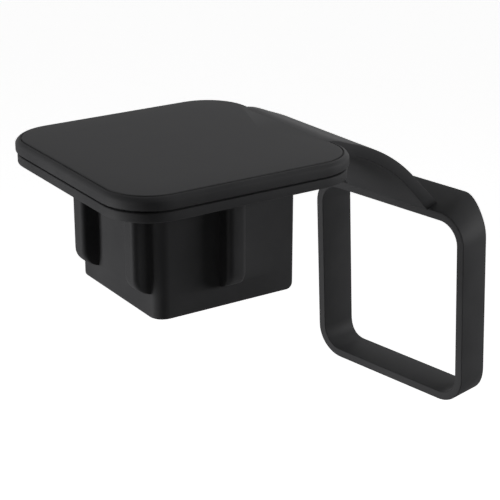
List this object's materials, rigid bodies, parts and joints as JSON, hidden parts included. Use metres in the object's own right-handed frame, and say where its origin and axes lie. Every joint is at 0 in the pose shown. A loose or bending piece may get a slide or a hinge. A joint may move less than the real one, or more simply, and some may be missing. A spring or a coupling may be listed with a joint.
{
  "type": "hitch receiver cover",
  "caption": "Soft cover for the open end of a square towing receiver: a cap plate over a ribbed hollow plug, with a bent strap that carries a square retaining ring.",
  "frame": {"origin": "centre of the cap plate at its underside, the plane that seats on the receiver's open end", "axes": "-Z is the way the plug goes into the receiver, +X runs from the plate to the retaining ring, Y runs across the strap"},
  "size_m": [0.1388, 0.08, 0.0977],
  "materials": {
    "rubber": "satin"
  },
  "bodies": {
    "root": {"hitch_cover": "rubber"}
  },
  "joints": []
}
